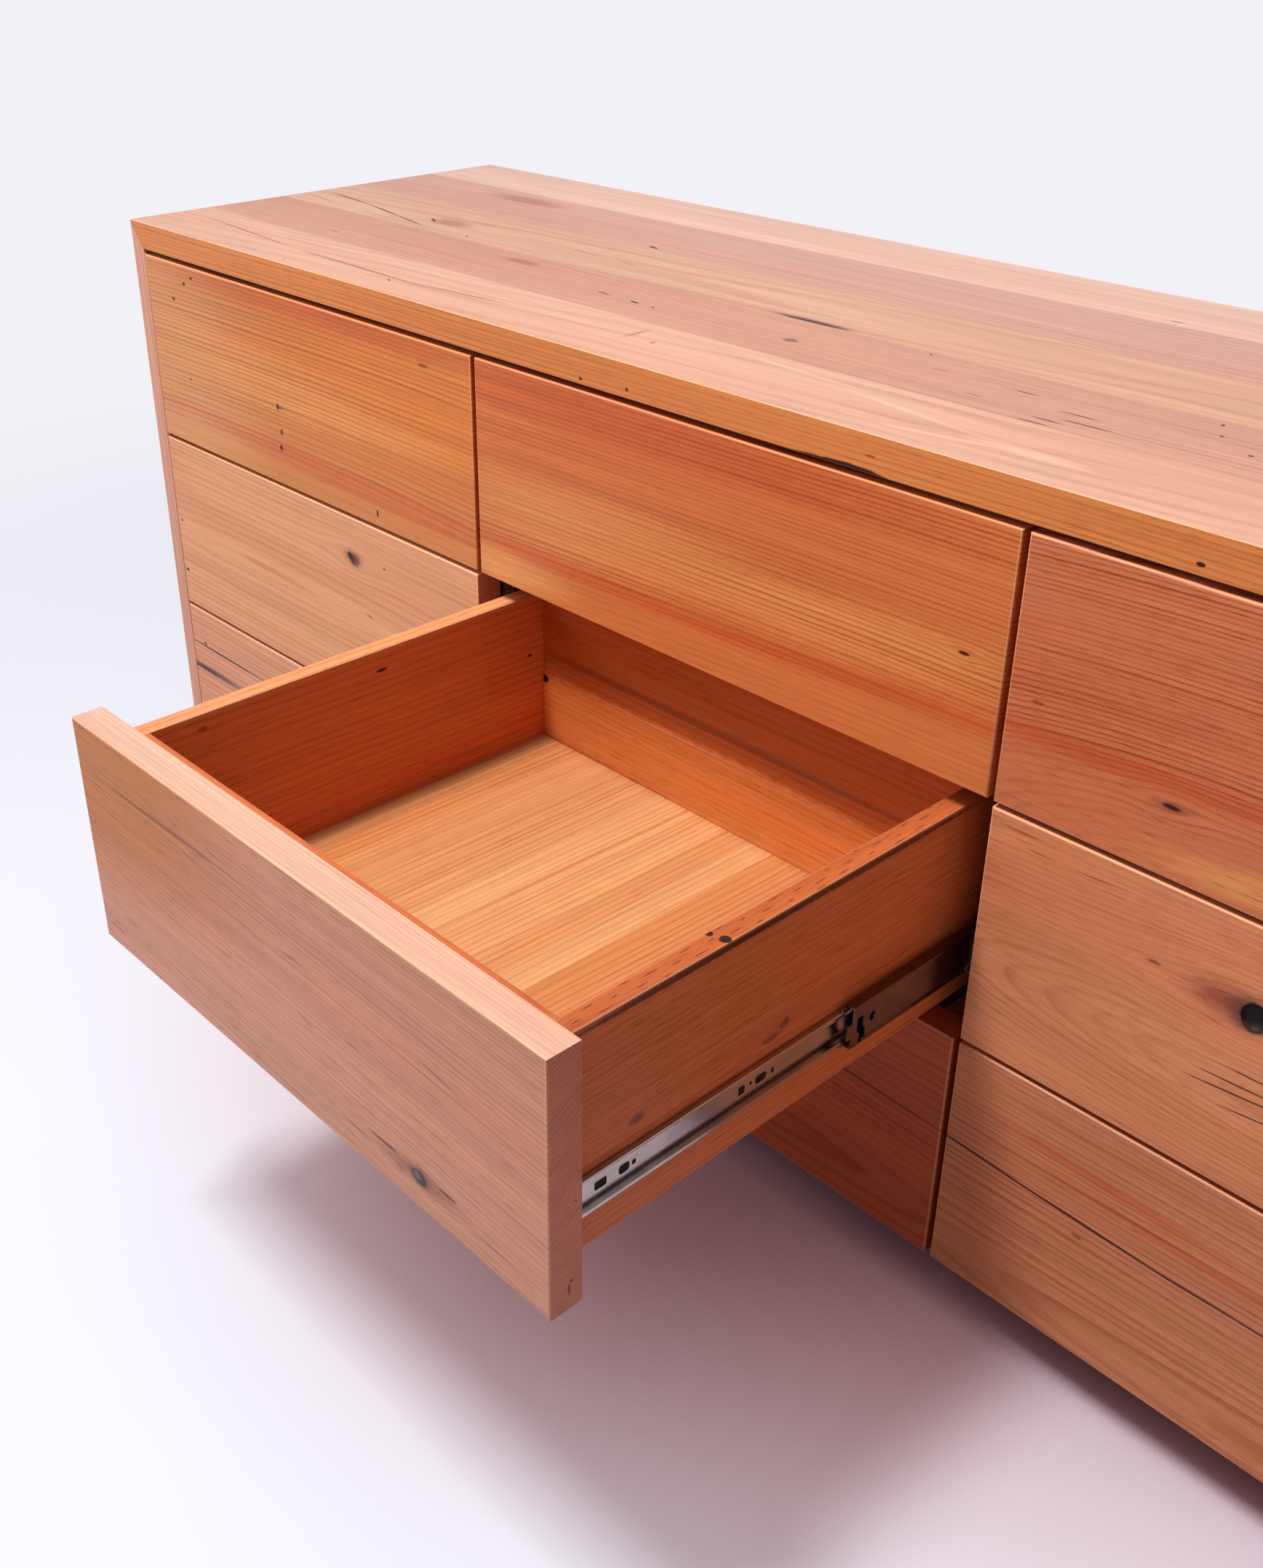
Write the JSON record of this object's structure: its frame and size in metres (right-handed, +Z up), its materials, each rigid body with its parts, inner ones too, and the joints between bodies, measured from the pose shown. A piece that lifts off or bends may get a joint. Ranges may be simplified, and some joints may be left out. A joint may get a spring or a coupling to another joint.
{
  "type": "chest of drawers",
  "caption": "Wide low timber chest with columns of flat handle-less inset drawers on ball-bearing slides, a mitred case and a recessed plinth.",
  "frame": {"origin": "on the floor under the middle of the case, at the middle of the plinth's middle cross rail", "axes": "+X to the right along the chest as seen from the front, +Y to the back, +Z up; drawers open towards -Y"},
  "size_m": [1.65, 0.876, 0.688],
  "materials": {
    "top_timber": "oiled satin, glued boards",
    "case_timber": "oiled satin",
    "front_timber": "oiled satin",
    "drawer_timber": "oiled satin",
    "plinth_timber": "oiled satin",
    "slide_steel": "bright zinc plate",
    "screw_steel": "zinc plate"
  },
  "bodies": {
    "case": {"top_panel": "top_timber", "left_side": "case_timber", "right_side": "case_timber", "left_divider": "case_timber", "right_divider": "case_timber", "bottom_panel": "case_timber", "back_panel": "case_timber", "back_screws": "screw_steel", "plinth_front": "plinth_timber", "plinth_back": "plinth_timber", "plinth_ends": "plinth_timber", "plinth_cross_rails": "plinth_timber", "left_slide_rails": "slide_steel", "centre_slide_rails": "slide_steel", "right_slide_rails": "slide_steel"},
    "left_upper_drawer": {"left_upper_front": "front_timber", "left_upper_walls": "drawer_timber", "left_upper_bottom": "drawer_timber", "left_upper_runners": "slide_steel"},
    "left_upper_carriage": {"left_upper_carriers": "slide_steel"},
    "left_middle_drawer": {"left_middle_front": "front_timber", "left_middle_walls": "drawer_timber", "left_middle_bottom": "drawer_timber", "left_middle_runners": "slide_steel"},
    "left_middle_carriage": {"left_middle_carriers": "slide_steel"},
    "left_lower_drawer": {"left_lower_front": "front_timber", "left_lower_walls": "drawer_timber", "left_lower_bottom": "drawer_timber", "left_lower_runners": "slide_steel"},
    "left_lower_carriage": {"left_lower_carriers": "slide_steel"},
    "centre_upper_drawer": {"centre_upper_front": "front_timber", "centre_upper_walls": "drawer_timber", "centre_upper_bottom": "drawer_timber", "centre_upper_runners": "slide_steel"},
    "centre_upper_carriage": {"centre_upper_carriers": "slide_steel"},
    "centre_middle_drawer": {"centre_middle_front": "front_timber", "centre_middle_walls": "drawer_timber", "centre_middle_bottom": "drawer_timber", "centre_middle_runners": "slide_steel"},
    "centre_middle_carriage": {"centre_middle_carriers": "slide_steel"},
    "centre_lower_drawer": {"centre_lower_front": "front_timber", "centre_lower_walls": "drawer_timber", "centre_lower_bottom": "drawer_timber", "centre_lower_runners": "slide_steel"},
    "centre_lower_carriage": {"centre_lower_carriers": "slide_steel"},
    "right_upper_drawer": {"right_upper_front": "front_timber", "right_upper_walls": "drawer_timber", "right_upper_bottom": "drawer_timber", "right_upper_runners": "slide_steel"},
    "right_upper_carriage": {"right_upper_carriers": "slide_steel"},
    "right_middle_drawer": {"right_middle_front": "front_timber", "right_middle_walls": "drawer_timber", "right_middle_bottom": "drawer_timber", "right_middle_runners": "slide_steel"},
    "right_middle_carriage": {"right_middle_carriers": "slide_steel"},
    "right_lower_drawer": {"right_lower_front": "front_timber", "right_lower_walls": "drawer_timber", "right_lower_bottom": "drawer_timber", "right_lower_runners": "slide_steel"},
    "right_lower_carriage": {"right_lower_carriers": "slide_steel"}
  },
  "joints": [
    {"name": "left_upper_slide", "type": "slide", "parent": "case", "child": "left_upper_drawer", "axis": [0, -1, 0], "range_m": [0, 0.4]},
    {"name": "left_upper_carriage_slide", "type": "slide", "parent": "case", "child": "left_upper_carriage", "axis": [0, -1, 0], "range_m": [0, 0.1468]},
    {"name": "left_middle_slide", "type": "slide", "parent": "case", "child": "left_middle_drawer", "axis": [0, -1, 0], "range_m": [0, 0.4]},
    {"name": "left_middle_carriage_slide", "type": "slide", "parent": "case", "child": "left_middle_carriage", "axis": [0, -1, 0], "range_m": [0, 0.1468]},
    {"name": "left_lower_slide", "type": "slide", "parent": "case", "child": "left_lower_drawer", "axis": [0, -1, 0], "range_m": [0, 0.4]},
    {"name": "left_lower_carriage_slide", "type": "slide", "parent": "case", "child": "left_lower_carriage", "axis": [0, -1, 0], "range_m": [0, 0.1468]},
    {"name": "centre_upper_slide", "type": "slide", "parent": "case", "child": "centre_upper_drawer", "axis": [0, -1, 0], "range_m": [0, 0.4]},
    {"name": "centre_upper_carriage_slide", "type": "slide", "parent": "case", "child": "centre_upper_carriage", "axis": [0, -1, 0], "range_m": [0, 0.1468]},
    {"name": "centre_middle_slide", "type": "slide", "parent": "case", "child": "centre_middle_drawer", "axis": [0, -1, 0], "range_m": [-0.391, 0.009]},
    {"name": "centre_middle_carriage_slide", "type": "slide", "parent": "case", "child": "centre_middle_carriage", "axis": [0, -1, 0], "range_m": [-0.1435, 0.0033]},
    {"name": "centre_lower_slide", "type": "slide", "parent": "case", "child": "centre_lower_drawer", "axis": [0, -1, 0], "range_m": [0, 0.4]},
    {"name": "centre_lower_carriage_slide", "type": "slide", "parent": "case", "child": "centre_lower_carriage", "axis": [0, -1, 0], "range_m": [0, 0.1468]},
    {"name": "right_upper_slide", "type": "slide", "parent": "case", "child": "right_upper_drawer", "axis": [0, -1, 0], "range_m": [0, 0.4]},
    {"name": "right_upper_carriage_slide", "type": "slide", "parent": "case", "child": "right_upper_carriage", "axis": [0, -1, 0], "range_m": [0, 0.1468]},
    {"name": "right_middle_slide", "type": "slide", "parent": "case", "child": "right_middle_drawer", "axis": [0, -1, 0], "range_m": [0, 0.4]},
    {"name": "right_middle_carriage_slide", "type": "slide", "parent": "case", "child": "right_middle_carriage", "axis": [0, -1, 0], "range_m": [0, 0.1468]},
    {"name": "right_lower_slide", "type": "slide", "parent": "case", "child": "right_lower_drawer", "axis": [0, -1, 0], "range_m": [0, 0.4]},
    {"name": "right_lower_carriage_slide", "type": "slide", "parent": "case", "child": "right_lower_carriage", "axis": [0, -1, 0], "range_m": [0, 0.1468]}
  ],
  "couplings": [
    {"joint": "left_upper_carriage_slide", "follows": "left_upper_slide", "ratio": 0.367},
    {"joint": "left_middle_carriage_slide", "follows": "left_middle_slide", "ratio": 0.367},
    {"joint": "left_lower_carriage_slide", "follows": "left_lower_slide", "ratio": 0.367},
    {"joint": "centre_upper_carriage_slide", "follows": "centre_upper_slide", "ratio": 0.367},
    {"joint": "centre_middle_carriage_slide", "follows": "centre_middle_slide", "ratio": 0.367},
    {"joint": "centre_lower_carriage_slide", "follows": "centre_lower_slide", "ratio": 0.367},
    {"joint": "right_upper_carriage_slide", "follows": "right_upper_slide", "ratio": 0.367},
    {"joint": "right_middle_carriage_slide", "follows": "right_middle_slide", "ratio": 0.367},
    {"joint": "right_lower_carriage_slide", "follows": "right_lower_slide", "ratio": 0.367}
  ]
}
